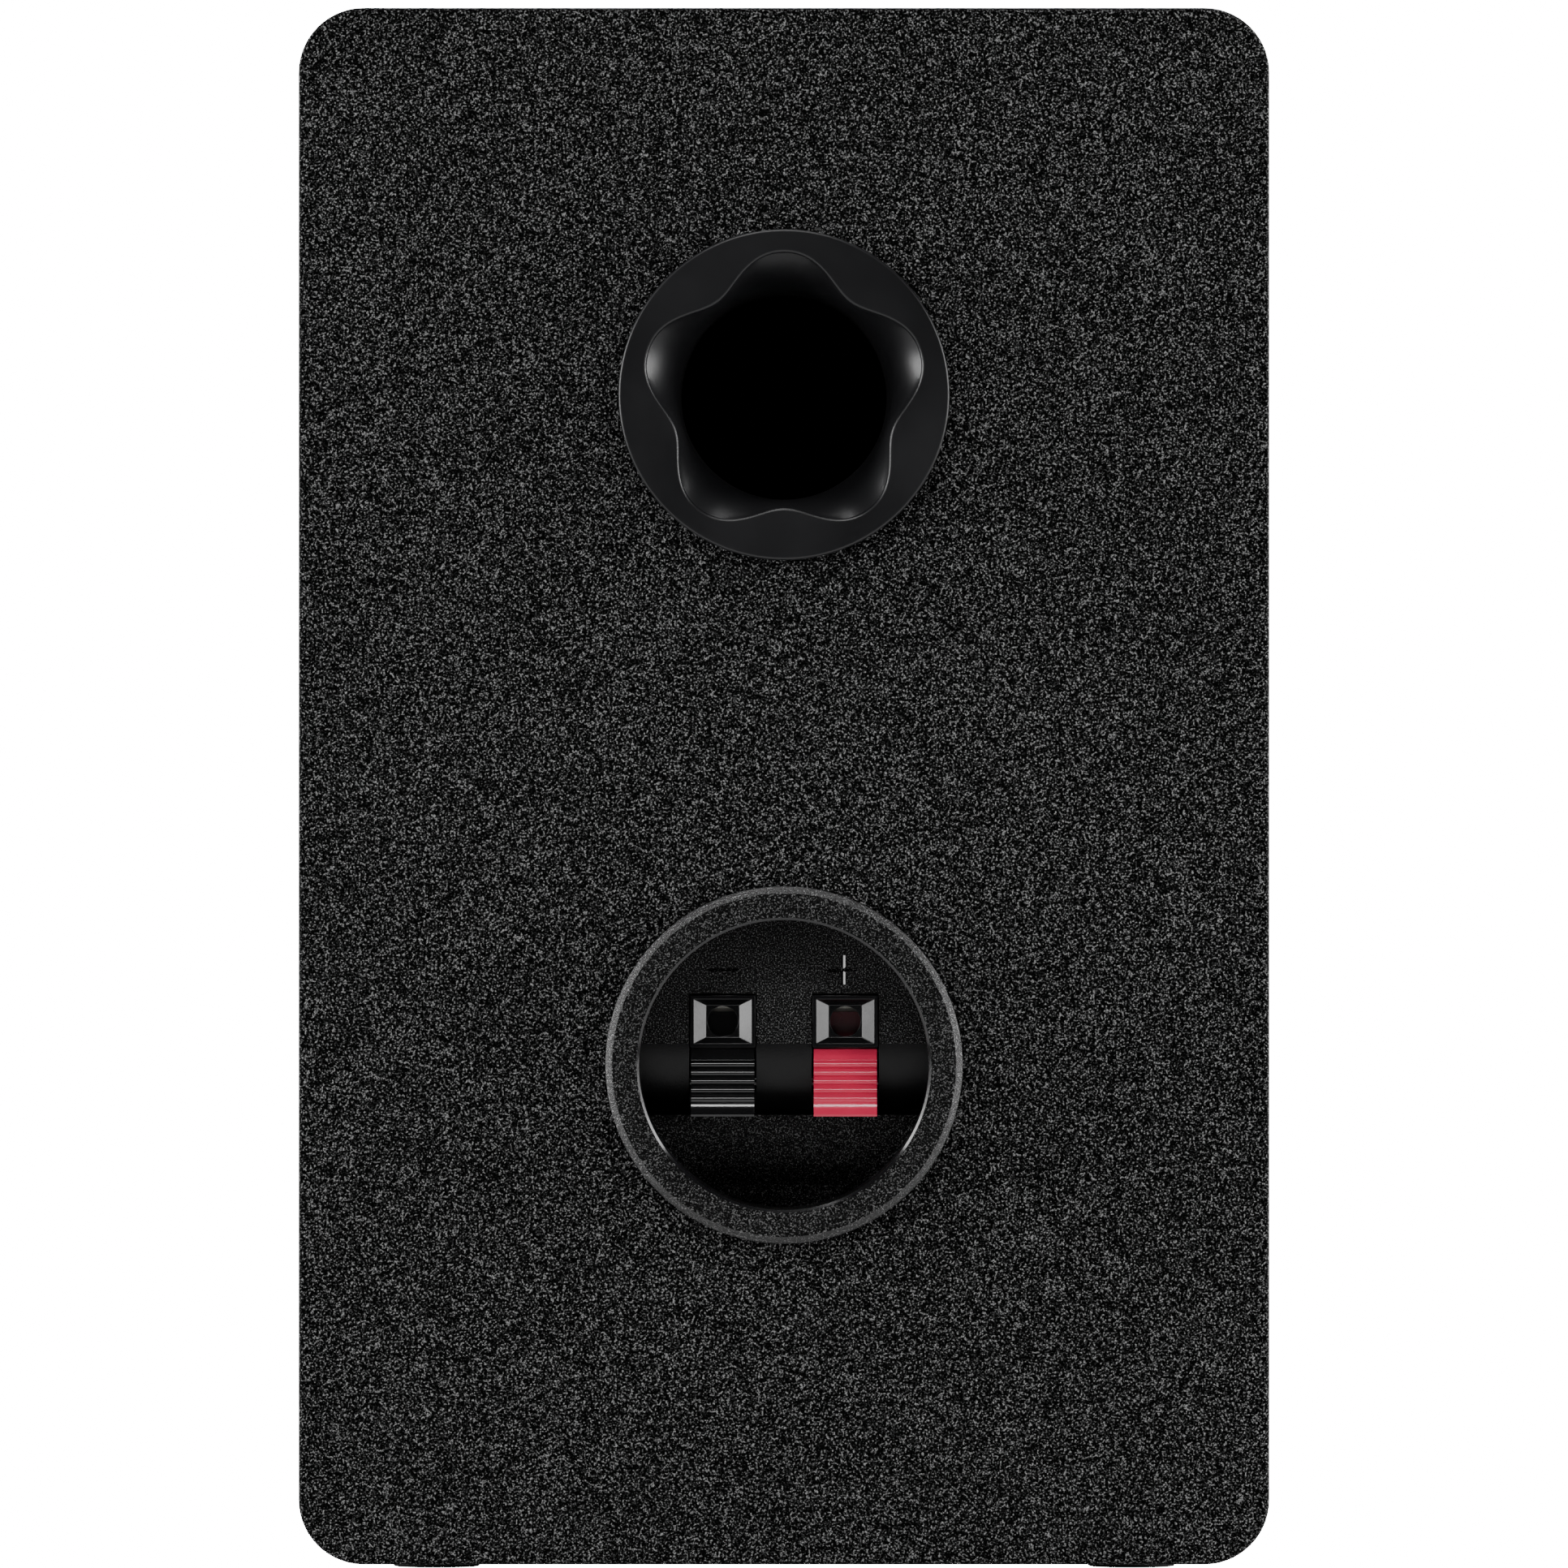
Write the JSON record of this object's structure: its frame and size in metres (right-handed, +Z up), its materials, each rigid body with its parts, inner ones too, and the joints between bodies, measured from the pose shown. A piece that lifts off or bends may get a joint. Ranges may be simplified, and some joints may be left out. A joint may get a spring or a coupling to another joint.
{
  "type": "bookshelf speaker",
  "caption": "Compact passive two-way bookshelf loudspeaker in a textured black cabinet, with a lobed rear reflex port and recessed spring-clip terminals.",
  "frame": {"origin": "on the surface the foot pads stand on, under the middle of the cabinet's width and depth", "axes": "+Z up; -Y out of the front baffle, towards the listener; +Y out of the rear panel; +X to the right as seen from the front"},
  "size_m": [0.155, 0.196, 0.25],
  "materials": {
    "vinyl_wrap": "black pebble-grain vinyl wrap over medium-density fibreboard, satin with fine glints",
    "foot_rubber": "matt black rubber pad",
    "wadding": "loose pale grey polyester wadding",
    "satin_plastic": "smooth satin black moulded plastic",
    "grained_plastic": "finely spark-eroded black moulded plastic",
    "gloss_black": "glossy black moulded plastic",
    "gloss_red": "glossy red moulded plastic, faintly translucent",
    "steel": "zinc-plated steel",
    "contact_brass": "tin-plated brass strip",
    "driver_frame": "stamped steel with black powder coat",
    "soft_rubber": "soft black rubber with a faint sheen",
    "cone_paper": "pressed dark grey paper pulp",
    "former_film": "amber polyimide film",
    "copper": "enamelled copper wire",
    "spider_cloth": "resin-dipped woven cotton, honey coloured",
    "ferrite": "sintered ferrite, dark grey",
    "strip_board": "phenolic board with tinned tabs",
    "dome_silk": "coated black silk",
    "circuit_board": "green solder-masked fibreglass board",
    "capacitor_case": "blue film capacitor sleeve",
    "resistor_ceramic": "white cement resistor body",
    "lead_jacket": "black two-core lead jacket",
    "screw_steel": "black-oxide steel countersunk screw"
  },
  "bodies": {
    "cabinet": {"front_baffle": "vinyl_wrap", "rear_panel": "vinyl_wrap", "top_panel": "vinyl_wrap", "left_side_panel": "vinyl_wrap", "bottom_panel": "vinyl_wrap", "right_side_panel": "vinyl_wrap", "foot_front_left": "foot_rubber", "foot_front_right": "foot_rubber", "foot_rear_left": "foot_rubber", "foot_rear_right": "foot_rubber", "wadding_left": "wadding", "wadding_right": "wadding", "port_flare": "satin_plastic", "port_tube": "satin_plastic", "terminal_back_cover": "satin_plastic", "tweeter_faceplate": "satin_plastic", "tweeter_rear_chamber": "satin_plastic", "terminal_cup": "grained_plastic", "wire_entry_positive": "gloss_black", "wire_entry_negative": "gloss_black", "clip_spring_positive": "steel", "clip_spring_negative": "steel", "woofer_top_plate": "steel", "woofer_yoke": "steel", "tweeter_top_plate": "steel", "tweeter_yoke": "steel", "clip_contact_positive": "contact_brass", "clip_contact_negative": "contact_brass", "woofer_basket": "driver_frame", "woofer_surround": "soft_rubber", "woofer_gasket": "soft_rubber", "crossover_inductor": "copper", "woofer_spider": "spider_cloth", "woofer_magnet": "ferrite", "tweeter_magnet": "ferrite", "woofer_terminal_strip": "strip_board", "tweeter_surround": "dome_silk", "crossover_board": "circuit_board", "crossover_capacitor": "capacitor_case", "crossover_resistor": "resistor_ceramic", "input_lead": "lead_jacket", "woofer_lead": "lead_jacket", "tweeter_lead": "lead_jacket", "woofer_screw_1": "screw_steel", "woofer_screw_2": "screw_steel", "woofer_screw_3": "screw_steel", "woofer_screw_4": "screw_steel", "tweeter_screw_1": "screw_steel", "tweeter_screw_2": "screw_steel", "tweeter_screw_3": "screw_steel"},
    "woofer_moving": {"woofer_cone": "cone_paper", "dust_cap": "cone_paper", "voice_coil_former": "former_film", "voice_coil_winding": "copper"},
    "tweeter_moving": {"tweeter_dome": "dome_silk", "tweeter_voice_coil": "copper"},
    "lever_positive": {"clip_lever_positive": "gloss_red"},
    "lever_negative": {"clip_lever_negative": "gloss_black"}
  },
  "joints": [
    {"name": "woofer_stroke", "type": "slide", "parent": "cabinet", "child": "woofer_moving", "axis": [0, -1, 0], "range_m": [-0.0035, 0.0035], "stiffness_N_per_m": 1000, "deforming": ["woofer_surround", "woofer_spider"]},
    {"name": "tweeter_stroke", "type": "slide", "parent": "cabinet", "child": "tweeter_moving", "axis": [0, -1, 0], "range_m": [-0.0004, 0.0004], "stiffness_N_per_m": 200, "deforming": ["tweeter_surround"]},
    {"name": "lever_positive_press", "type": "hinge", "parent": "cabinet", "child": "lever_positive", "pos_m": [-0.0098, 0.0808, 0.0783], "axis": [-1, 0, 0], "range_deg": [0, 9], "stiffness_Nm_per_rad": 0.15, "springref_deg": -8.59, "deforming": ["clip_spring_positive"]},
    {"name": "lever_negative_press", "type": "hinge", "parent": "cabinet", "child": "lever_negative", "pos_m": [0.0098, 0.0808, 0.0783], "axis": [-1, 0, 0], "range_deg": [0, 9], "stiffness_Nm_per_rad": 0.15, "springref_deg": -8.59, "deforming": ["clip_spring_negative"]}
  ]
}
